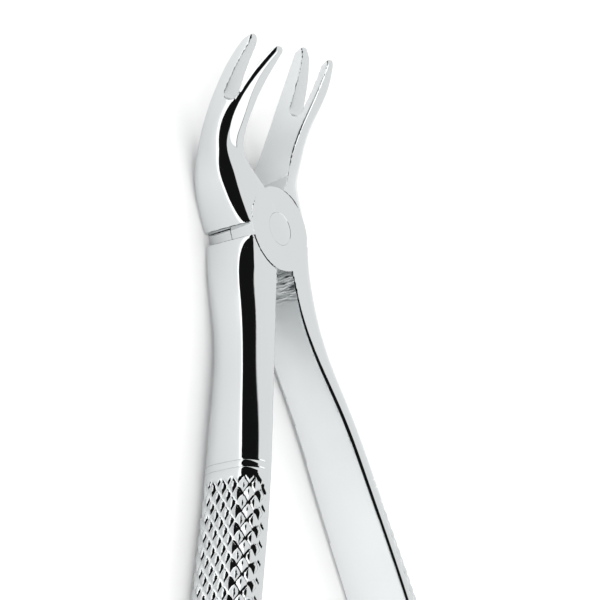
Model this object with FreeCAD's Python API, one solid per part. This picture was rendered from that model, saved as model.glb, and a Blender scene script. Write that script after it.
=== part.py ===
"""Upper extraction forceps, English pattern, with forked beaks.

Two crossed halves turn on one flush rivet through a half-lap joint.

Frame, in millimetres: the forceps lies on its back.
+X runs from the pivot towards the beaks, +Y towards the beak of the front half, and +Z from
the back of the joint to its front. The origin is on the pivot axis, on the joint's back face.
"""
import FreeCAD, Part
import math
import os
from collections import namedtuple

Vector = FreeCAD.Vector

# Half-lap joint
JOINT_THICKNESS = 11.5
PLATE_RADIUS = 8.8          # each half is a round plate where it crosses the other
PLATE_SIDE_CLEARANCE = 0.25  # plate rim to the other half's shoulder
SEAM_GAP = 0.06             # between the two sliding plate faces
PLATE_THICKNESS = (JOINT_THICKNESS - SEAM_GAP) / 2
RECESS_DEPTH = JOINT_THICKNESS  # more than deep enough to clear the shoulders

# Rivet
SHANK_RADIUS = 2.5
HEAD_RADIUS = 3.4
HEAD_DEPTH = 0.9            # depth of the countersink at each face
RUNNING_CLEARANCE = 0.04    # rivet to the front half, which turns on it

# Shoulders: the flat ends that stop the opening
BEAK_SHOULDER_X = 0.2
HANDLE_SHOULDER_X = -2.4

# Fork in each beak: a tapered slot with a round bottom
SLOT_LEAN = 36.0
SLOT_LENGTH = 13.0
SLOT_BOTTOM_RADIUS = 1.65
SLOT_MOUTH_HALF_WIDTH = 2.25
SLOT_SHIFT = 0.6            # slot centre line, forward of the beak's centre line

DOME_LENGTH = 4.0           # rounded end of each handle
DOME_ANGLES = (0, 25, 45, 62, 76)
INNER_EDGE_ROUND = 0.4

# One cross-section of a beak or handle. x and z place its centre, and lean tips it forward.
# depth is its size from back to front. inner is the distance of its flat inner face from the
# middle plane, and wide_back and wide_front are its widths outward from that face.
Section = namedtuple(
    "Section", "x z lean depth inner wide_back wide_front round_back round_front")

BEAK_SECTIONS = [
    Section(BEAK_SHOULDER_X, 5.75, 0, 11.3, 1.0, 9.8, 8.0, 1.6, 2.4),
    Section(6.0, 5.75, 0, 11.3, 1.6, 11.0, 7.9, 2.0, 3.2),
    Section(11.0, 5.7, 3, 10.6, 5.0, 8.2, 5.2, 2.2, 3.0),
    Section(16.4, 6.5, 14, 8.6, 7.5, 5.3, 4.8, 1.8, 2.2),
    Section(22.0, 9.3, 25, 7.4, 8.2, 4.5, 5.0, 1.5, 2.0),
    Section(28.0, 13.4, 33, 8.0, 8.4, 3.5, 4.5, 1.2, 1.6),
    Section(32.4, 16.8, 37, 8.8, 8.0, 2.8, 3.3, 0.9, 1.1),
    Section(35.6, 19.3, 36, 8.8, 7.3, 2.2, 2.2, 0.7, 0.8),
]
BEAK_TIP = BEAK_SECTIONS[-1]

HANDLE_SECTIONS = [
    Section(HANDLE_SHOULDER_X, 5.75, 0, 11.3, 1.0, 10.0, 8.0, 1.8, 3.0),
    Section(-9.0, 5.75, 0, 11.3, 2.6, 9.6, 6.2, 2.4, 3.0),
    Section(-16.0, 5.85, 0, 11.2, 3.9, 9.6, 5.4, 2.9, 3.2),
    Section(-25.0, 6.25, 0, 11.3, 6.2, 8.8, 5.0, 3.2, 3.3),
    Section(-37.7, 6.8, 0, 12.4, 10.5, 7.8, 5.2, 3.2, 3.4),
    Section(-51.0, 7.1, 0, 13.4, 14.7, 7.4, 5.8, 3.2, 3.6),
    Section(-73.0, 7.45, 0, 14.6, 22.2, 7.2, 6.0, 3.2, 3.8),
    Section(-100.0, 7.45, 0, 14.6, 30.4, 7.2, 6.0, 3.2, 3.8),
    Section(-120.0, 7.3, 0, 14.2, 34.6, 6.8, 5.8, 3.2, 3.6),
    Section(-132.0, 7.0, 0, 13.2, 36.0, 6.2, 5.4, 3.0, 3.2),
]


def rounded_outline(corners, radii):
    """Closed wire through the corners, each turned with its own radius."""
    arcs = []
    for index, corner in enumerate(corners):
        radius = radii[index]
        before = (corners[index - 1] - corner).normalize()
        after = (corners[(index + 1) % len(corners)] - corner).normalize()
        half_angle = before.getAngle(after) / 2
        middle = (before + after).normalize()
        centre = corner + middle * (radius / math.sin(half_angle))
        setback = radius / math.tan(half_angle)
        arcs.append(Part.Arc(corner + before * setback, centre - middle * radius,
                             corner + after * setback).toShape())
    edges = []
    for index, arc in enumerate(arcs):
        following = arcs[(index + 1) % len(arcs)]
        edges.append(arc)
        edges.append(Part.makeLine(arc.lastVertex().Point, following.firstVertex().Point))
    return Part.Wire(edges)


def section_wire(section, side):
    """Outline of one cross-section, flat on the inner side and full on the outer side."""
    lean = math.radians(section.lean)
    forward = Vector(-math.sin(lean), 0, math.cos(lean)) * (section.depth / 2)
    outward = Vector(0, side, 0)
    base = Vector(section.x, side * section.inner, section.z)
    corners = [
        base - forward,
        base + forward,
        base + forward + outward * section.wide_front,
        base - forward + outward * section.wide_back,
    ]
    inner_round = min(INNER_EDGE_ROUND, section.round_back / 2)
    radii = [inner_round, inner_round, section.round_front, section.round_back]
    return rounded_outline(corners, radii)


def bar(sections, side):
    """Solid bar through the cross-sections on one side of the middle plane."""
    return Part.makeLoft([section_wire(section, side) for section in sections], True, False)


def slot_cutter():
    """Tapered slot with a round bottom, cut sideways through a beak from its tip."""
    lean = math.radians(SLOT_LEAN)
    along = Vector(math.cos(lean), 0, math.sin(lean))
    forward = Vector(-math.sin(lean), 0, math.cos(lean))
    reach = 2 * (BEAK_TIP.inner + BEAK_TIP.wide_back) + 20
    tip = Vector(BEAK_TIP.x, -reach / 2, BEAK_TIP.z) + forward * SLOT_SHIFT
    centre = tip - along * (SLOT_LENGTH - SLOT_BOTTOM_RADIUS)
    mouth = tip + along * SLOT_LENGTH
    taper = (SLOT_MOUTH_HALF_WIDTH - SLOT_BOTTOM_RADIUS) / (SLOT_LENGTH - SLOT_BOTTOM_RADIUS)
    mouth_half_width = SLOT_MOUTH_HALF_WIDTH + taper * SLOT_LENGTH
    back = centre - forward * SLOT_BOTTOM_RADIUS
    front = centre + forward * SLOT_BOTTOM_RADIUS
    back_mouth = mouth - forward * mouth_half_width
    front_mouth = mouth + forward * mouth_half_width
    outline = Part.Wire([
        Part.Arc(back, centre - along * SLOT_BOTTOM_RADIUS, front).toShape(),
        Part.makeLine(front, front_mouth),
        Part.makeLine(front_mouth, back_mouth),
        Part.makeLine(back_mouth, back),
    ])
    return Part.Face(outline).extrude(Vector(0, reach, 0))


def shrunk(section, scale, shift_x):
    """The same cross-section, scaled about its centre and moved along X."""
    width = max(section.wide_back, section.wide_front)
    return Section(
        section.x + shift_x, section.z, section.lean, section.depth * scale,
        section.inner + (1 - scale) * width / 2,
        section.wide_back * scale, section.wide_front * scale,
        section.round_back * scale, section.round_front * scale)


def beak(side):
    """Curved beak with two prongs."""
    blank = bar(BEAK_SECTIONS, side)
    return blank.cut(slot_cutter())


def handle(side):
    """Handle with a domed end."""
    last = HANDLE_SECTIONS[-1]
    dome = []
    for angle in DOME_ANGLES:
        turn = math.radians(angle)
        dome.append(shrunk(last, math.cos(turn), -DOME_LENGTH * math.sin(turn)))
    return bar(HANDLE_SECTIONS, side).fuse(bar(dome, side))


def plate(bottom_z):
    """Round lap plate around the pivot."""
    return Part.makeCylinder(PLATE_RADIUS, PLATE_THICKNESS, Vector(0, 0, bottom_z))


def rivet_solid(extra):
    """Shank with a countersunk head at each face, all grown by the given clearance."""
    shank = Part.makeCylinder(SHANK_RADIUS + extra, JOINT_THICKNESS)
    head_depth = HEAD_DEPTH + extra
    shank_radius = SHANK_RADIUS + extra
    head_radius = HEAD_RADIUS + extra
    back_head = Part.makeCone(head_radius, shank_radius, head_depth)
    front_head = Part.makeCone(shank_radius, head_radius, head_depth,
                               Vector(0, 0, JOINT_THICKNESS - head_depth))
    return shank.multiFuse([back_head, front_head]).removeSplitter()


def half(beak_side, plate_bottom, recess_bottom, rivet_clearance):
    """One half: a beak, the lap plate and the crossed handle, with the other plate's recess."""
    body = plate(plate_bottom).multiFuse([beak(beak_side), handle(-beak_side)])
    recess = Part.makeCylinder(PLATE_RADIUS + PLATE_SIDE_CLEARANCE, RECESS_DEPTH,
                               Vector(0, 0, recess_bottom))
    return body.cut(recess).cut(rivet_solid(rivet_clearance)).removeSplitter()


def front_half():
    """Half with the front plate; it turns on the rivet."""
    plate_bottom = JOINT_THICKNESS - PLATE_THICKNESS
    return half(1, plate_bottom, plate_bottom - RECESS_DEPTH, RUNNING_CLEARANCE)


def rear_half():
    """Half with the back plate; it holds the rivet."""
    return half(-1, 0, PLATE_THICKNESS, 0)


def pivot_rivet():
    """Flush rivet through both plates."""
    return rivet_solid(0)


PARTS = {
    "front_half": front_half,
    "rear_half": rear_half,
    "pivot_rivet": pivot_rivet,
}

os.makedirs("parts", exist_ok=True)
for name, build in PARTS.items():
    shape = build()
    solids = shape.Solids
    if len(solids) != 1 or not shape.isValid():
        raise RuntimeError(f"{name}: {len(solids)} solids, valid {shape.isValid()}")
    solids[0].exportStep(f"parts/{name}.step")
    print(name, round(shape.Volume / 1000, 2), "cm3", shape.BoundBox)
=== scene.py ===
"""Looks for the extraction forceps: two polished forged halves with knurled grips, and a rivet.

Lengths in the shape code are millimetres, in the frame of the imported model: +X runs to the
beaks, +Y to the front half's beak and +Z to the joint's front face. Each half is described by a
distance field, negative inside the steel. Its beak, joint and shank are meshed from that field,
and its grip is a grid of rings whose points lie on the same field, so the two meet in one line.
"""
import math
from collections import namedtuple

import bpy
import numpy as np
from mathutils import Matrix, Vector


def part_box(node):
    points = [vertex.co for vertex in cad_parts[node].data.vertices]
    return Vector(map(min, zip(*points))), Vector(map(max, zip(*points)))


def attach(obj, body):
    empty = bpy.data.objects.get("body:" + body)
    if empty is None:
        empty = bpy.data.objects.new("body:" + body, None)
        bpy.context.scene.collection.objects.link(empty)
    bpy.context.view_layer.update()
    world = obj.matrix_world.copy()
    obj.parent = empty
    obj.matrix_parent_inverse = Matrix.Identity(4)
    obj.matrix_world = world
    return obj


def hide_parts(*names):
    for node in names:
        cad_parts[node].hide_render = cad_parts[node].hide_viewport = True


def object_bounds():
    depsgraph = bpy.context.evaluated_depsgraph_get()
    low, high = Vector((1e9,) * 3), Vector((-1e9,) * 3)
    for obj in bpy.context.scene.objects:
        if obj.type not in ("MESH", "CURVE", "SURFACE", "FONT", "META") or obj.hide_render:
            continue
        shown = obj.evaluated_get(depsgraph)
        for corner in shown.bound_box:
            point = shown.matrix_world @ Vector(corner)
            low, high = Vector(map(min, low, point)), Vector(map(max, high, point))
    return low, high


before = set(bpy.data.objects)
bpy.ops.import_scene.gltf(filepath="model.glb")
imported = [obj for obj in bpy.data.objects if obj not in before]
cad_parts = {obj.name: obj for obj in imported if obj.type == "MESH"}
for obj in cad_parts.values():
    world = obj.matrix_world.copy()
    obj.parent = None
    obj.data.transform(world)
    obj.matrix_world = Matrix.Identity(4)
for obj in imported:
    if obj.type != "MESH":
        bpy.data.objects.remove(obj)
cad_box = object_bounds()

MM = 0.001

# The joint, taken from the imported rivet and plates
rivet_low, rivet_high = (np.array(corner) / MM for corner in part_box("pivot_rivet"))
JOINT_THICKNESS = rivet_high[2] - rivet_low[2]
HEAD_RADIUS = (rivet_high[0] - rivet_low[0]) / 2
SHANK_RADIUS = 2.5
MIDDLE_Z = JOINT_THICKNESS / 2
PLATE_RADIUS = 8.8
PLATE_SIDE_GAP = 0.35
SEAM_GAP = 0.06
RIVET_GAP = 0.07
BEAK_SHOULDER_X = 0.2
HANDLE_SHOULDER_X = -2.4
EDGE = 0.2                  # rounding of cut edges

# One cross-section of a beak or handle: x and z of its centre, its forward lean in degrees,
# depth from back to front, distance of the inner face from the middle plane, width outward at
# the back and at the front, edge rounding at the back, at the front and at the inner edges, the
# outer side's crown, and how far the outer side falls in towards the front, over what reach.
Section = namedtuple(
    "Section",
    "x z lean depth inner wide_back wide_front round_back round_front round_inner crown drop reach")

BEAK_SECTIONS = [
    Section(BEAK_SHOULDER_X, 5.75, 0, 11.5, 1.0, 9.8, 8.6, 1.6, 1.4, 0.3, 0.0, 0.6, 3.0),
    Section(6.0, 5.75, 0, 11.5, 1.6, 10.8, 9.4, 2.0, 1.9, 0.3, 0.0, 2.4, 4.2),
    Section(11.0, 5.7, 3, 10.6, 5.0, 8.2, 6.2, 2.2, 2.2, 0.3, 0.1, 2.2, 4.4),
    Section(16.4, 6.5, 14, 8.6, 7.5, 5.5, 6.1, 1.8, 2.0, 0.35, 0.1, 2.0, 4.3),
    Section(22.0, 9.2, 25, 7.9, 8.2, 4.9, 5.7, 1.5, 1.5, 0.4, 0.1, 2.2, 4.1),
    Section(28.0, 13.2, 33, 8.6, 8.4, 3.8, 4.7, 1.2, 1.2, 0.4, 0.1, 1.1, 3.8),
    Section(32.5, 16.7, 37, 9.2, 8.0, 2.8, 3.5, 0.9, 0.9, 0.4, 0.1, 0.3, 3.0),
    Section(35.6, 19.35, 36, 9.3, 7.3, 2.0, 2.2, 0.7, 0.9, 0.4, 0.0, 0.0, 3.0),
]
HANDLE_SECTIONS = [
    Section(HANDLE_SHOULDER_X, 5.75, 0, 11.5, 1.0, 10.0, 8.4, 1.8, 0.8, 0.3, 0.0, 0.2, 3.6),
    Section(-9.0, 5.75, 0, 11.5, 2.6, 9.7, 8.0, 2.4, 0.7, 0.3, 0.1, 2.4, 3.6),
    Section(-16.0, 5.85, 0, 11.2, 3.9, 9.4, 7.1, 3.2, 0.7, 0.6, 0.2, 2.2, 3.3),
    Section(-25.0, 6.3, 0, 11.4, 6.4, 8.4, 6.3, 3.8, 0.7, 1.0, 0.3, 2.3, 3.5),
    Section(-37.7, 7.05, 0, 12.9, 11.1, 7.6, 5.6, 4.4, 0.7, 1.2, 0.3, 2.6, 4.1),
    Section(-51.0, 7.4, 0, 14.0, 15.4, 7.0, 5.4, 4.1, 0.7, 1.1, 0.3, 2.6, 4.2),
    Section(-73.0, 7.6, 0, 14.9, 22.7, 6.9, 5.9, 4.0, 0.8, 1.0, 0.3, 2.7, 4.5),
    Section(-100.0, 7.5, 0, 14.7, 30.6, 7.2, 6.0, 4.0, 0.8, 1.0, 0.3, 2.7, 4.5),
    Section(-120.0, 7.3, 0, 14.2, 34.6, 6.9, 5.8, 3.8, 0.8, 1.0, 0.3, 2.4, 4.4),
    Section(-132.0, 7.0, 0, 13.2, 36.0, 6.1, 5.2, 3.4, 0.9, 1.0, 0.3, 2.0, 4.2),
]
TIP_ROUND = 0.9
TIP_EXTRA = 0.6             # how far the tips reach past the last cross-section
TIP_CURVE = 1.1             # how far a prong's corners are cut back at the tip
HANDLE_END_ROUND = 2.8
HANDLE_END_EXTRA = 3.8      # how far the rounded end reaches past the last cross-section

# The fork in each beak
SLOT_LEAN = math.radians(36)
SLOT_LENGTH = 13.0
SLOT_BOTTOM_RADIUS = 1.65
SLOT_MOUTH_HALF_WIDTH = 2.8
SLOT_SHIFT = 0.3
SERRATION_PITCH = 0.7
SERRATION_DEPTH = 0.06
SERRATED_LENGTH = 4.8

# The grip
FIELD_STEP = 0.25           # cell size of the meshed field
GRIP_SEAM_X = -30.0         # where the grid of rings takes over from the meshed field
GRIP_TURN_LENGTH = 14.0     # over which the rings turn square to the handle
RING_LINES_X = (-50.3, -51.8)
RING_LINE_DEPTH = 0.16
RING_LINE_HALF_WIDTH = 0.22
KNURL_START_X = -53.3
KNURL_END_X = -126.0
KNURL_HEIGHT = 3.7          # of one diamond, along the grip
KNURL_ROUNDS = 15           # diamonds round the whole grip
KNURL_DEPTH = 0.52
STEPS_PER_DIAMOND = 8
KNURL_RUNOUT = 1.2
KNURL_BORDER = 1.0          # smooth band beside the inner edges
KNURL_CORNER = 1.8          # how much wider the band is where the knurl starts
SHARP_ANGLE = math.radians(32)


JOIN_X = (BEAK_SHOULDER_X + HANDLE_SHOULDER_X) / 2
LOCATE_ROUNDS = 7           # each round leaves about a seventh of the error


def natural_spline(knots, values):
    """Second derivatives of the natural cubic spline through the rows of values."""
    count = len(knots)
    gaps = np.diff(knots)
    matrix = np.eye(count)
    right = np.zeros_like(values)
    slopes = np.diff(values, axis=0) / gaps[:, None]
    for row in range(1, count - 1):
        matrix[row, row - 1] = gaps[row - 1]
        matrix[row, row] = 2 * (gaps[row - 1] + gaps[row])
        matrix[row, row + 1] = gaps[row]
        right[row] = 6 * (slopes[row] - slopes[row - 1])
    return np.linalg.solve(matrix, right)


def round_max(a, b, radius):
    """Where both distances are negative, with the edge between them rounded."""
    outside = np.hypot(np.maximum(a + radius, 0), np.maximum(b + radius, 0))
    return np.minimum(-radius, np.maximum(a, b)) + outside


class Bar:
    """A bar through cross-sections: heading is 1 towards the beaks, -1 towards the grips."""

    def __init__(self, sections, heading):
        self.rows = np.array(sections, float)
        gaps = np.hypot(np.diff(self.rows[:, 0]), np.diff(self.rows[:, 1]))
        self.knots = np.concatenate([[0], np.cumsum(gaps)])
        self.bend = natural_spline(self.knots, self.rows)
        self.length = self.knots[-1]
        self.heading = heading

    def at(self, s):
        """The cross-section's values at the distance s along the bar."""
        span = np.clip(np.searchsorted(self.knots, s) - 1, 0, len(self.knots) - 2)
        gap = self.knots[span + 1] - self.knots[span]
        b = ((s - self.knots[span]) / gap)[..., None]
        a = 1 - b
        gap = gap[..., None]
        curve = (a ** 3 - a) * self.bend[span] + (b ** 3 - b) * self.bend[span + 1]
        values = a * self.rows[span] + b * self.rows[span + 1] + curve * gap * gap / 6
        return Section(*np.moveaxis(values, -1, 0))

    def locate(self, x, z):
        """Distance along the bar of points, and the cross-section there."""
        start = self.rows[0, 0]
        s = np.clip(self.heading * (x - start) + 0 * z, 0, self.length)
        for _ in range(LOCATE_ROUNDS):
            here = self.at(s)
            lean = np.radians(here.lean)
            ahead = self.heading * ((x - here.x) * np.cos(lean) + (z - here.z) * np.sin(lean))
            beyond = s + ahead
            s = np.clip(beyond, 0, self.length)
        return beyond, self.at(s)

    def distance(self, x, y, z, serrated=False):
        """Distance to the bar on the +Y side, without its far end, and the way along it."""
        s, here = self.locate(x, z)
        lean = np.radians(here.lean)
        u = (z - here.z) * np.cos(lean) - (x - here.x) * np.sin(lean)
        half = here.depth / 2
        level = np.clip(u / half, -1.2, 1.2)
        middle = (here.wide_front + here.wide_back) / 2
        slope = (here.wide_front - here.wide_back) / 2
        fall = np.maximum(0, u - half + here.reach) / here.reach
        width = middle + slope * level + here.crown * (1 - level * level) - here.drop * fall * fall
        steepness = slope / half - 2 * here.drop * fall / here.reach
        v = y - here.inner
        back = -u - half
        front = u - half
        inside = -v
        if serrated:
            tooth = np.abs((s / SERRATION_PITCH) % 1 - 0.5) * 2 * SERRATION_DEPTH
            near_tip = np.clip((s - self.length + SERRATED_LENGTH) / 1.5, 0, 1)
            inside = inside + tooth * near_tip
        outside = (v - width) / np.hypot(1, steepness)
        shape = np.maximum(
            np.maximum(round_max(inside, back, here.round_inner),
                       round_max(inside, front, here.round_inner)),
            np.maximum(round_max(outside, back, here.round_back),
                       round_max(outside, front, here.round_front)))
        return round_max(shape, -s, EDGE), s


BEAK_BAR = Bar(BEAK_SECTIONS, 1)
HANDLE_BAR = Bar(HANDLE_SECTIONS, -1)


def slot_place(x, z):
    """Distance along the fork's slot from its bottom's centre, and away from its middle line."""
    tip = BEAK_SECTIONS[-1]
    along_x, along_z = math.cos(SLOT_LEAN), math.sin(SLOT_LEAN)
    reach = SLOT_LENGTH - SLOT_BOTTOM_RADIUS
    centre_x = tip.x - along_z * SLOT_SHIFT - along_x * reach
    centre_z = tip.z + along_x * SLOT_SHIFT - along_z * reach
    p = (x - centre_x) * along_x + (z - centre_z) * along_z
    q = np.abs((z - centre_z) * along_x - (x - centre_x) * along_z)
    return p, q


def slot_distance(x, z):
    """Distance to the fork's slot: tapered sides and a round bottom."""
    p, q = slot_place(x, z)
    taper = (SLOT_MOUTH_HALF_WIDTH - SLOT_BOTTOM_RADIUS) / (SLOT_LENGTH - SLOT_BOTTOM_RADIUS)
    return np.where(p > 0, q - SLOT_BOTTOM_RADIUS - taper * p, np.hypot(p, q) - SLOT_BOTTOM_RADIUS)


def beak_distance(x, y, z):
    """Forked beak on the +Y side, with each prong's tip rounded."""
    shape, s = BEAK_BAR.distance(x, y, z, serrated=True)
    forked = round_max(shape, -slot_distance(x, z), EDGE)
    _, q = slot_place(x, z)
    half = (BEAK_SECTIONS[-1].depth / 2 - SLOT_MOUTH_HALF_WIDTH) / 2
    off_middle = (q - SLOT_MOUTH_HALF_WIDTH - half) / half
    end = s - BEAK_BAR.length - TIP_EXTRA + TIP_CURVE * np.clip(off_middle, -1, 1) ** 2
    return round_max(forked, end, TIP_ROUND)


def handle_distance(x, y, z):
    """Handle on the +Y side, with a rounded end."""
    shape, s = HANDLE_BAR.distance(x, y, z)
    return round_max(shape, s - HANDLE_BAR.length - HANDLE_END_EXTRA, HANDLE_END_ROUND)


def bar_distance(x, y, z, side):
    """The beak or the handle of a half, whichever is on the point's side of the joint."""
    x, y, z = np.broadcast_arrays(x, y, z) if x.ndim == 1 else (x, y, z)
    to_beak = x.ravel() > JOIN_X
    shape = np.broadcast_shapes(x.shape, y.shape, z.shape)
    distance = np.empty(shape)
    if x.ndim == 1:
        distance[to_beak] = beak_distance(x[to_beak], side * y[to_beak], z[to_beak])
        distance[~to_beak] = handle_distance(x[~to_beak], -side * y[~to_beak], z[~to_beak])
    else:
        distance[to_beak] = beak_distance(x[to_beak], side * y, z)
        distance[~to_beak] = handle_distance(x[~to_beak], -side * y, z)
    return distance


def half_distance(x, y, z, side, front):
    """One half. side is 1 where its beak is at +Y, and front is 1 for the front lap plate."""
    radial = np.hypot(x, y)
    from_middle = front * (z - MIDDLE_Z)
    bars = bar_distance(x, y, z, side)
    plate = round_max(radial - PLATE_RADIUS, from_middle - MIDDLE_Z, EDGE / 2)
    plate = np.maximum(plate, SEAM_GAP / 2 - from_middle)
    recess = np.maximum(radial - PLATE_RADIUS - PLATE_SIDE_GAP, from_middle - SEAM_GAP / 2)
    body = round_max(np.minimum(bars, plate), -recess, EDGE / 2)
    to_face = np.minimum(z, JOINT_THICKNESS - z)
    bore = radial - np.clip(HEAD_RADIUS - to_face, SHANK_RADIUS, HEAD_RADIUS) - RIVET_GAP
    return np.maximum(body, -bore)


def gradient(distance, points, reach):
    """Unit normals of the field at points, from its values at a small tetrahedron's corners."""
    normals = np.zeros_like(points)
    for corner in ((1, -1, -1), (-1, -1, 1), (-1, 1, -1), (1, 1, 1)):
        offset = np.array(corner) * reach
        normals += np.array(corner) * distance(*(points + offset).T)[:, None]
    return normals / np.maximum(np.linalg.norm(normals, axis=1, keepdims=True), 1e-9)


def contour(distance, low, high, step):
    """Quad mesh of the field's zero surface, one point in each cell that it crosses.

    Each point is where the surface's tangent planes in its cell meet, which keeps edges crisp.
    """
    axes = [np.arange(lo, hi + step, step) for lo, hi in zip(low, high)]
    field = distance(axes[0][:, None, None], axes[1][None, :, None], axes[2][None, None, :])
    inside = field < 0
    cells = tuple(size - 1 for size in field.shape)
    corner = np.array(low, float)
    planes = []
    quads = []
    for axis in range(3):
        head = [slice(None)] * 3
        tail = [slice(None)] * 3
        head[axis] = slice(0, -1)
        tail[axis] = slice(1, None)
        start = np.argwhere(inside[tuple(head)] != inside[tuple(tail)])
        end = start.copy()
        end[:, axis] += 1
        a = field[tuple(start.T)]
        b = field[tuple(end.T)]
        cut = corner + step * (start + (end - start) * (a / (a - b))[:, None])
        normal = gradient(distance, cut, step * 0.05)
        around = []
        first, second = (axis + 1) % 3, (axis + 2) % 3
        for one, two in ((0, 0), (-1, 0), (-1, -1), (0, -1)):
            cell = start.copy()
            cell[:, first] += one
            cell[:, second] += two
            valid = ((cell >= 0) & (cell < cells)).all(axis=1)
            flat = np.where(valid, np.ravel_multi_index(np.clip(cell, 0, np.array(cells) - 1).T, cells), -1)
            around.append(flat)
            planes.append((flat[valid], cut[valid], normal[valid]))
        ring = np.stack(around, axis=1)
        ring[a > 0] = ring[a > 0, ::-1]
        quads.append(ring[(ring >= 0).all(axis=1)])
    owner = np.concatenate([part[0] for part in planes])
    cut = np.concatenate([part[1] for part in planes])
    normal = np.concatenate([part[2] for part in planes])
    used, index = np.unique(owner, return_inverse=True)
    count = np.bincount(index).astype(float)
    mean = np.stack([np.bincount(index, cut[:, k]) for k in range(3)], axis=1) / count[:, None]
    offset = ((cut - mean[index]) * normal).sum(axis=1)
    square = np.empty((len(used), 3, 3))
    push = np.empty((len(used), 3))
    for i in range(3):
        push[:, i] = np.bincount(index, normal[:, i] * offset)
        for j in range(3):
            square[:, i, j] = np.bincount(index, normal[:, i] * normal[:, j])
    square += 0.02 * np.eye(3)
    move = np.linalg.solve(square, push[:, :, None])[:, :, 0]
    points = mean + np.clip(move, -step, step)
    faces = np.searchsorted(used, np.concatenate(quads))
    return points, faces


def knurl_height(around, along):
    """Height of the diamond pyramids, 0 in the grooves and 1 at the points."""
    one = np.abs((around + along + 0.5) % 1 - 0.5) * 2
    other = np.abs((around - along + 0.5) % 1 - 0.5) * 2
    slant = np.minimum(one, other)
    return slant * (1.6 - 0.6 * slant)


def ring_rows():
    """x of each ring of grip points, closer together at the lines and along the knurl."""
    smooth = list(np.arange(GRIP_SEAM_X, RING_LINES_X[0] + 0.6, -0.5))
    for line in RING_LINES_X:
        smooth += [line + RING_LINE_HALF_WIDTH, line, line - RING_LINE_HALF_WIDTH]
    smooth += [(RING_LINES_X[0] + RING_LINES_X[1]) / 2]
    knurled = list(np.arange(RING_LINES_X[1] - 0.7, KNURL_END_X - 2, -KNURL_HEIGHT / STEPS_PER_DIAMOND))
    end = HANDLE_SECTIONS[-1].x - HANDLE_END_EXTRA
    turns = np.linspace(0, math.pi / 2, 16)[:-1]
    dome_start = end + HANDLE_END_ROUND
    plain = list(np.arange(knurled[-1] - 0.5, dome_start, -0.5))
    dome = list(dome_start - HANDLE_END_ROUND * np.sin(turns))
    return np.array(sorted(set(np.round(smooth + knurled + plain + dome, 4)), reverse=True))


def grip_outline(x):
    """Evenly spaced points round the handle at x, starting from the middle of the inner face.

    Each outline is square to the handle, not to the X axis, except next to the meshed field.
    """
    angles = np.linspace(0, 2 * math.pi, 721)[:-1]
    _, here = HANDLE_BAR.locate(np.array(float(x)), np.array(7.0))
    centre_y = float(here.inner) + float(here.wide_back + here.wide_front) / 4
    centre_z = float(here.z)
    ray_y, ray_z = -np.cos(angles), np.sin(angles)
    near = np.zeros_like(angles)
    far = np.full_like(angles, 14.0)
    ahead = HANDLE_BAR.locate(np.array(x - 1.0), np.array(7.0))[1]
    square = np.clip((GRIP_SEAM_X - x) / GRIP_TURN_LENGTH, 0, 1)
    turn = float(ahead.inner - here.inner) * square * square * (3 - 2 * square)
    for _ in range(20):
        middle = (near + far) / 2
        xs = x + turn * middle * ray_y
        inside = handle_distance(xs, centre_y + middle * ray_y, centre_z + middle * ray_z) < 0
        near = np.where(inside, middle, near)
        far = np.where(inside, far, middle)
    y = centre_y + near * ray_y
    z = centre_z + near * ray_z
    step = np.hypot(np.diff(np.append(y, y[0])), np.diff(np.append(z, z[0])))
    travelled = np.concatenate([[0], np.cumsum(step)])
    columns = KNURL_ROUNDS * STEPS_PER_DIAMOND
    wanted = np.linspace(0, travelled[-1], columns + 1)[:-1]
    return np.stack([np.interp(wanted, travelled, x + turn * (np.append(y, y[0]) - centre_y)),
                     np.interp(wanted, travelled, np.append(y, y[0])),
                     np.interp(wanted, travelled, np.append(z, z[0]))], axis=1)


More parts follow.
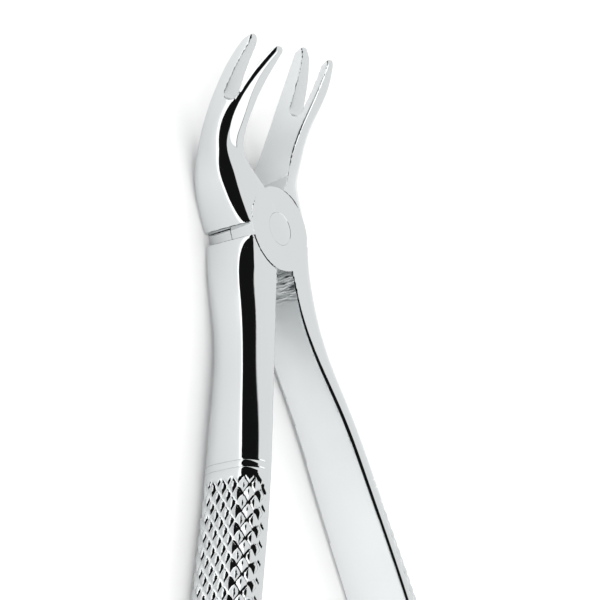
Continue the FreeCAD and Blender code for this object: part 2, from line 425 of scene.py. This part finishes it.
def grip_mesh():
    """Grip of the +Y handle: rings of points, with the knurl and the two fine lines cut in."""
    rows = ring_rows()
    rings = np.array([grip_outline(x) for x in rows])
    count, columns = rings.shape[:2]
    points = rings.reshape(-1, 3)
    normals = gradient(handle_distance, points, 0.02)
    normals[:, 0] = 0
    _, here = HANDLE_BAR.locate(points[:, 0], points[:, 2])
    outward = points[:, 1] - here.inner
    x = np.repeat(rows, columns)

    border = KNURL_BORDER + KNURL_CORNER * np.clip((x - KNURL_START_X) / 4 + 1, 0, 1)
    cover = np.minimum(outward - border, KNURL_START_X - x)
    cover = np.clip(np.minimum(cover, x - KNURL_END_X) / KNURL_RUNOUT, 0, 1)
    around = np.tile(np.arange(columns) / STEPS_PER_DIAMOND, count)
    height = knurl_height(around, x / KNURL_HEIGHT)
    cut = np.minimum(0, KNURL_DEPTH * (height - cover))
    for line in RING_LINES_X:
        shape = np.clip(1 - np.abs(x - line) / RING_LINE_HALF_WIDTH, 0, 1)
        cut = cut - RING_LINE_DEPTH * shape * np.clip((outward - 1.2) / 1.5, 0, 1)
    points = points + normals * cut[:, None]

    top = np.arange(count - 1)[:, None] * columns
    column = np.arange(columns)[None, :]
    following = (column + 1) % columns
    a, b = top + column, top + following
    c, d = b + columns, a + columns
    middle = knurl_height((column + 0.5) / STEPS_PER_DIAMOND,
                          (rows[:-1, None] + rows[1:, None]) / 2 / KNURL_HEIGHT)
    tall = height.reshape(count, columns)
    tall_b = np.roll(tall, -1, axis=1)
    rising = np.abs(tall[:-1] + tall_b[1:] - 2 * middle) <= np.abs(tall_b[:-1] + tall[1:] - 2 * middle)
    one = np.where(rising[..., None], np.stack([a, c, b], -1), np.stack([a, d, b], -1))
    two = np.where(rising[..., None], np.stack([a, d, c], -1), np.stack([b, d, c], -1))
    faces = np.concatenate([one.reshape(-1, 3), two.reshape(-1, 3)])
    knurled = (cover.reshape(count, columns)[:-1] > 0.02).reshape(-1)
    knurled = np.concatenate([knurled, knurled])
    last = (count - 1) * columns
    end_ring = last + np.arange(columns)
    tip = points[end_ring].mean(axis=0)
    points = np.vstack([points, tip])
    cap = np.stack([end_ring, np.full(columns, len(points) - 1), np.roll(end_ring, -1)], axis=1)
    faces = np.concatenate([faces, cap])
    knurled = np.concatenate([knurled, np.zeros(columns, bool)])
    return points, faces, knurled


def shank_mesh(side, front):
    """Beak, joint and shank of one half, with its open rim on the grip's first ring."""
    def distance(x, y, z):
        return half_distance(x, y, z, side, front)
    low = np.array([GRIP_SEAM_X, -17.6, -0.7])
    high = np.array([39.5, 17.6, 24.5])
    points, faces = contour(distance, low, high, FIELD_STEP)
    rim_points, uses = np.unique(
        np.sort(np.stack([faces, np.roll(faces, -1, axis=1)], -1).reshape(-1, 2), axis=1),
        axis=0, return_counts=True)
    rim = np.unique(rim_points[uses == 1])
    points[rim, 0] = GRIP_SEAM_X
    for _ in range(6):
        normals = gradient(distance, points[rim] + [0.05, 0, 0], 0.02)
        normals[:, 0] = 0
        points[rim] -= normals * distance(*points[rim].T)[:, None]
    return points, faces


def make_mesh(name, parts):
    """One object from (points, faces, material numbers) parts, in metres."""
    mesh = bpy.data.meshes.new(name)
    points = []
    faces = []
    kinds = []
    start = 0
    for part_points, part_faces, part_kinds in parts:
        points.append(part_points * MM)
        faces += [[index + start for index in face] for face in part_faces]
        kinds.append(part_kinds)
        start += len(part_points)
    mesh.from_pydata(np.concatenate(points), [], faces)
    mesh.polygons.foreach_set("material_index", np.concatenate(kinds).astype(np.int32))
    mesh.shade_smooth()
    mesh.set_sharp_from_angle(angle=SHARP_ANGLE)
    mesh.update()
    piece = bpy.data.objects.new(name, mesh)
    bpy.context.scene.collection.objects.link(piece)
    return piece


def face_centres(points, faces):
    """Middle and unit normal of each face."""
    corners = points[faces]
    across = np.cross(corners[:, 2] - corners[:, 0], corners[:, -1] - corners[:, 1])
    across /= np.maximum(np.linalg.norm(across, axis=1, keepdims=True), 1e-12)
    return corners.mean(axis=1), across


def faces_middle(centres, normals):
    """True for the faces of a beak's or handle's flat inner side."""
    towards_middle = -normals[:, 1] * np.sign(centres[:, 1])
    return (towards_middle > 0.85) & (np.abs(normals[:, 2]) < 0.25)


POLISHED, SATIN_PAINTED_LIGHT, MILLED, KNURLED, MARKED_PAINTED_LIGHT_AND_SHADE = range(5)


def build_half(name, side, front, grip_parts):
    """One half: the meshed field, and the grip mirrored to this half's handle side."""
    points, faces = shank_mesh(side, front)
    centres, normals = face_centres(points, faces)
    kinds = np.full(len(faces), POLISHED)
    beak_side = side * centres[:, 1] > 0
    # The inner faces get lighter copies of the steel, painted light; those of the handles also get painted
    # shade by the joint.
    inner = faces_middle(centres, normals) & (np.abs(centres[:, 0]) > PLATE_RADIUS)
    kinds[inner] = np.where(beak_side[inner], SATIN_PAINTED_LIGHT, MARKED_PAINTED_LIGHT_AND_SHADE)
    in_slot = (slot_distance(centres[:, 0], centres[:, 2]) < 0.1) & beak_side & (centres[:, 0] > 20)
    kinds[in_slot & (np.abs(normals[:, 1]) < 0.5)] = MILLED

    grip, grip_faces, knurled = grip_parts
    grip = grip * [1, -side, 1]
    if side < 0:
        grip_faces = grip_faces[:, ::-1]
    grip_centres, grip_normals = face_centres(grip, grip_faces)
    grip_kinds = np.where(knurled, KNURLED, POLISHED)
    grip_kinds[faces_middle(grip_centres, grip_normals) & ~knurled] = MARKED_PAINTED_LIGHT_AND_SHADE
    return make_mesh(name, [(points, faces, kinds), (grip, grip_faces, grip_kinds)])


def build_rivet():
    """Flush rivet: a shank with a countersunk head at each face, each rim slightly rounded."""
    rim = 0.1
    taper = HEAD_RADIUS - SHANK_RADIUS
    profile = [(HEAD_RADIUS - rim, 0.0), (HEAD_RADIUS - rim * 0.3, rim * 0.3),
               (HEAD_RADIUS - rim * 0.1, rim), (SHANK_RADIUS, taper)]
    profile += [(radius, JOINT_THICKNESS - z) for radius, z in reversed(profile)]
    count = 96
    angles = np.arange(count) * 2 * math.pi / count
    points = [(radius * math.cos(angle), radius * math.sin(angle), z)
              for radius, z in profile for angle in angles]
    faces = []
    for ring in range(len(profile) - 1):
        for i in range(count):
            a = ring * count + i
            b = ring * count + (i + 1) % count
            faces.append([a, b, b + count, a + count])
    last = (len(profile) - 1) * count
    faces.append(list(range(count))[::-1])
    faces.append([last + i for i in range(count)])
    return make_mesh("rivet", [(np.array(points), faces, np.zeros(len(faces)))])


def noise_of(nodes, links, place, size, stretch):
    """Noise with lumps of the given size in metres, drawn out along the axes by stretch."""
    squeeze = nodes.new("ShaderNodeMapping")
    squeeze.inputs["Scale"].default_value = stretch
    links.new(place, squeeze.inputs["Vector"])
    noise = nodes.new("ShaderNodeTexNoise")
    noise.inputs["Scale"].default_value = 1 / size
    noise.inputs["Detail"].default_value = 3
    links.new(squeeze.outputs["Vector"], noise.inputs["Vector"])
    return noise.outputs["Fac"]


def metal(name, colour, roughness, grain, marks_and_shade=None):
    """Steel: an even colour, with the roughness and the surface varied by noise; the last argument adds dark
    streaks of painted shade.

    grain is the fine finish: its size in metres, its stretch along the axes and its depth in
    metres. The last argument is a cutter's scoring, given the same way, on the inner faces by the joint, with
    painted shade in near-black streaks along it.
    """
    material = bpy.data.materials.new(name)
    material.use_nodes = True
    nodes = material.node_tree.nodes
    links = material.node_tree.links
    shader = nodes["Principled BSDF"]
    shader.inputs["Metallic"].default_value = 1.0
    shader.inputs["Base Color"].default_value = (*colour, 1)
    place = nodes.new("ShaderNodeTexCoord").outputs["Object"]

    spread = nodes.new("ShaderNodeMapRange")
    spread.inputs["To Min"].default_value = roughness * 0.7
    spread.inputs["To Max"].default_value = roughness * 1.4
    links.new(noise_of(nodes, links, place, SMEAR_SIZE, (1, 1, 1)), spread.inputs["Value"])
    links.new(spread.outputs["Result"], shader.inputs["Roughness"])

    size, stretch, depth = grain
    bump = nodes.new("ShaderNodeBump")
    bump.inputs["Distance"].default_value = depth
    links.new(noise_of(nodes, links, place, size, stretch), bump.inputs["Height"])
    links.new(bump.outputs["Normal"], shader.inputs["Normal"])
    if marks_and_shade:
        size, stretch, depth = marks_and_shade
        cuts = nodes.new("ShaderNodeBump")
        cuts.inputs["Distance"].default_value = depth
        lumps = noise_of(nodes, links, place, size, stretch)
        links.new(lumps, cuts.inputs["Height"])
        split = nodes.new("ShaderNodeSeparateXYZ")
        links.new(place, split.inputs["Vector"])
        fade = nodes.new("ShaderNodeMapRange")
        fade.inputs["From Min"].default_value = MARKS_AND_SHADE_END_X * MM
        fade.inputs["From Max"].default_value = MARKS_AND_SHADE_FULL_X * MM
        links.new(split.outputs["X"], fade.inputs["Value"])
        links.new(fade.outputs["Result"], cuts.inputs["Strength"])
        links.new(cuts.outputs["Normal"], bump.inputs["Normal"])
        # Painted shade: near-black streaks mixed into the colour on the inner faces by the joint, where the
        # handles meet; the bump is the cutter's real scoring.
        painted_shade_streaks = step_of(nodes, links, lumps, 0.5, 0.58, 0.0, 1.0)
        painted_shade_mix = nodes.new("ShaderNodeMixRGB")
        painted_shade_mix.inputs["Color1"].default_value = (*colour, 1)
        painted_shade_mix.inputs["Color2"].default_value = (*PAINTED_SHADE_COLOUR, 1)
        links.new(product(nodes, links, painted_shade_streaks, fade.outputs["Result"]), painted_shade_mix.inputs["Fac"])
        links.new(painted_shade_mix.outputs["Color"], shader.inputs["Base Color"])
    return material


SMEAR_SIZE = 0.011
MARKS_AND_SHADE_END_X = -14.5         # the cutter's scoring and its painted shade by the joint fade out from here
MARKS_AND_SHADE_FULL_X = -11.0
STEEL = (0.605, 0.625, 0.63)
# Painted shade: colour of the dark streaks on the inner faces by the joint.
PAINTED_SHADE_COLOUR = (0.07, 0.075, 0.08)
# Painted light: lighter copies of the steel that brighten the inner faces of the beaks and handles; the satin
# finish itself is the roughness.
PAINTED_LIGHT_STEEL = (0.72, 0.745, 0.75)
BRIGHTER_PAINTED_LIGHT_STEEL = (0.8, 0.82, 0.825)


def steel_finishes():
    """The finishes of a half, in the order of the face kinds."""
    even = (1, 1, 1)
    lengthwise = (0.25, 1, 1)
    across = (1, 0.5, 0.3)
    streaky = (1, 0.35, 0.2)
    return [
        metal("polished_steel", STEEL, 0.045, (0.0012, lengthwise, 0.000003)),
        # Painted light: a lighter copy of the steel for the beaks' inner faces.
        metal("satin_steel_painted_light", PAINTED_LIGHT_STEEL, 0.3, (0.0006, lengthwise, 0.00002)),
        metal("milled_steel", STEEL, 0.25, (0.0008, across, 0.00006)),
        metal("knurled_steel", STEEL, 0.05, (0.0009, even, 0.00006)),
        # Painted light and painted shade: a lighter copy of the steel, with dark streaks by the joint.
        metal("marked_steel_painted_light_and_shade", BRIGHTER_PAINTED_LIGHT_STEEL, 0.3, (0.0006, lengthwise, 0.00002), (0.0008, streaky, 0.002)),
    ]


# The view: image right, image up and the way to the camera, and the framing
VIEW_RIGHT = Vector((-0.116, -0.606, 0.785)).normalized()
VIEW_UP = Vector((0.960, 0.126, 0.240)).normalized()
VIEW_BACK = VIEW_RIGHT.cross(VIEW_UP)
VIEW_SPAN = 0.120           # width seen at the joint
VIEW_DISTANCE = 1.0
CENTRE_RIGHT = 4.14 * MM    # middle of the view from the pivot, across and along the image
CENTRE_UP = -14.52 * MM


def add_camera():
    """Long-lens camera looking down on the joint from the front half's side."""
    lens = bpy.data.cameras.new("camera")
    lens.sensor_width = 36
    lens.lens = lens.sensor_width * VIEW_DISTANCE / VIEW_SPAN
    lens.clip_end = 20
    camera = bpy.data.objects.new("camera", lens)
    bpy.context.scene.collection.objects.link(camera)
    target = Vector((0, 0, JOINT_THICKNESS * MM)) + VIEW_RIGHT * CENTRE_RIGHT + VIEW_UP * CENTRE_UP
    turn = Matrix((VIEW_RIGHT, VIEW_UP, VIEW_BACK)).transposed().to_4x4()
    camera.matrix_world = Matrix.Translation(target + VIEW_BACK * VIEW_DISTANCE) @ turn
    bpy.context.scene.camera = camera


def add_floor():
    """Plain pale floor under the forceps."""
    reach = 12.0
    mesh = bpy.data.meshes.new("floor")
    level = cad_box[0][2]
    corners = [(-reach, -reach, level), (reach, -reach, level), (reach, reach, level), (-reach, reach, level)]
    mesh.from_pydata(corners, [], [[0, 1, 2, 3]])
    floor = bpy.data.objects.new("floor", mesh)
    bpy.context.scene.collection.objects.link(floor)
    material = bpy.data.materials.new("floor")
    material.use_nodes = True
    shader = material.node_tree.nodes["Principled BSDF"]
    shader.inputs["Base Color"].default_value = (0.93, 0.93, 0.93, 1)
    shader.inputs["Roughness"].default_value = 0.9
    mesh.materials.append(material)


# The studio: a bright ceiling and wall on the front half's handle side, a dark room behind the
# camera, split by a plane through the long axis, and a white panel over the grips
BRIGHT_SIDE = Vector((0.036, -0.934, 0.348))
PANEL_SIDE = Vector((-0.90, -0.43, 0.02))
BRIGHT_SKY = 1.12
DARK_SKY = 0.01
PANEL_SKY = 1.75
PANEL_START = 0.32
PANEL_TOP = 0.72            # how far the panel and its dark edge reach towards the bright side
PANEL_EDGE = 0.035
SOFTNESS = 0.03
LAMP_POWER = 2.2
LAMP_SPREAD = math.radians(60)
STRIP_POWER = 0.7
STRIP_PLACE = Vector((0.0, 0.195, 0.01))
STRIP_LENGTH = 0.8
STRIP_WIDTH = 0.28


def step_of(nodes, links, value, low, high, before, after):
    """A smooth step of the value from before to after, between low and high."""
    step = nodes.new("ShaderNodeMapRange")
    step.interpolation_type = "SMOOTHSTEP"
    step.inputs["From Min"].default_value = low
    step.inputs["From Max"].default_value = high
    step.inputs["To Min"].default_value = before
    step.inputs["To Max"].default_value = after
    links.new(value, step.inputs["Value"])
    return step.outputs["Result"]


def along(nodes, links, direction, axis):
    """How far the direction points along an axis."""
    dot = nodes.new("ShaderNodeVectorMath")
    dot.operation = "DOT_PRODUCT"
    dot.inputs[1].default_value = axis
    links.new(direction, dot.inputs[0])
    return dot.outputs["Value"]


def product(nodes, links, a, b):
    times = nodes.new("ShaderNodeMath")
    times.operation = "MULTIPLY"
    links.new(a, times.inputs[0])
    links.new(b, times.inputs[1])
    return times.outputs["Value"]


def blend(nodes, links, share, a, b):
    mix = nodes.new("ShaderNodeMix")
    links.new(share, mix.inputs["Factor"])
    for value, name in ((a, "A"), (b, "B")):
        if isinstance(value, float):
            mix.inputs[name].default_value = value
        else:
            links.new(value, mix.inputs[name])
    return mix.outputs["Result"]


def add_sky():
    """Soft studio surroundings that the polished steel reflects."""
    world = bpy.data.worlds.new("studio")
    world.use_nodes = True
    bpy.context.scene.world = world
    nodes = world.node_tree.nodes
    links = world.node_tree.links
    background = nodes["Background"]
    background.inputs["Color"].default_value = (1, 1, 1, 1)
    direction = nodes.new("ShaderNodeTexCoord").outputs["Generated"]
    to_bright = along(nodes, links, direction, BRIGHT_SIDE)
    to_panel = along(nodes, links, direction, PANEL_SIDE)
    sky = step_of(nodes, links, to_bright, -SOFTNESS, SOFTNESS, DARK_SKY, BRIGHT_SKY)
    panel = step_of(nodes, links, to_panel, PANEL_START - SOFTNESS, PANEL_START + SOFTNESS, 0.0, 1.0)
    below_edge = step_of(nodes, links, to_bright, PANEL_TOP, PANEL_TOP + SOFTNESS, 1.0, 0.0)
    past_edge = step_of(nodes, links, to_bright, PANEL_TOP + PANEL_EDGE,
                        PANEL_TOP + PANEL_EDGE + SOFTNESS, 1.0, 0.0)
    sky = blend(nodes, links, product(nodes, links, panel, past_edge), sky, DARK_SKY)
    sky = blend(nodes, links, product(nodes, links, panel, below_edge), sky, PANEL_SKY)
    links.new(sky, background.inputs["Strength"])


def add_lamp(name, kind, power, turn):
    """A lamp that lights the floor and isn't itself seen in the steel."""
    data = bpy.data.lights.new(name, kind)
    data.energy = power
    lamp = bpy.data.objects.new(name, data)
    lamp.rotation_euler = turn
    lamp.visible_glossy = False
    lamp.visible_camera = False
    bpy.context.scene.collection.objects.link(lamp)
    return lamp


def add_light():
    """The surroundings, a soft lamp by the camera, and a strip over the floor beside the part."""
    add_sky()
    lamp = add_lamp("lamp", "SUN", LAMP_POWER, VIEW_BACK.to_track_quat("Z", "Y").to_euler())
    lamp.data.angle = LAMP_SPREAD
    strip = add_lamp("strip", "AREA", STRIP_POWER, (0, 0, 0))
    strip.data.shape = "RECTANGLE"
    strip.data.size = STRIP_LENGTH
    strip.data.size_y = STRIP_WIDTH
    strip.location = STRIP_PLACE


def main():
    bpy.context.scene.view_settings.view_transform = "Standard"
    finishes = steel_finishes()
    grip_parts = grip_mesh()
    halves = [("front", "front_half", 1, 1), ("rear", "rear_half", -1, -1)]
    for body, node, side, front in halves:
        piece = build_half(node + "_steel", side, front, grip_parts)
        for material in finishes:
            piece.data.materials.append(material)
        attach(piece, body)
        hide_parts(node)
    rivet = build_rivet()
    rivet.data.materials.append(metal("rivet_steel", STEEL, 0.05, (0.0008, (1, 1, 1), 0.000004)))
    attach(rivet, "rear")
    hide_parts("pivot_rivet")
    add_floor()
    add_light()
    add_camera()


main()
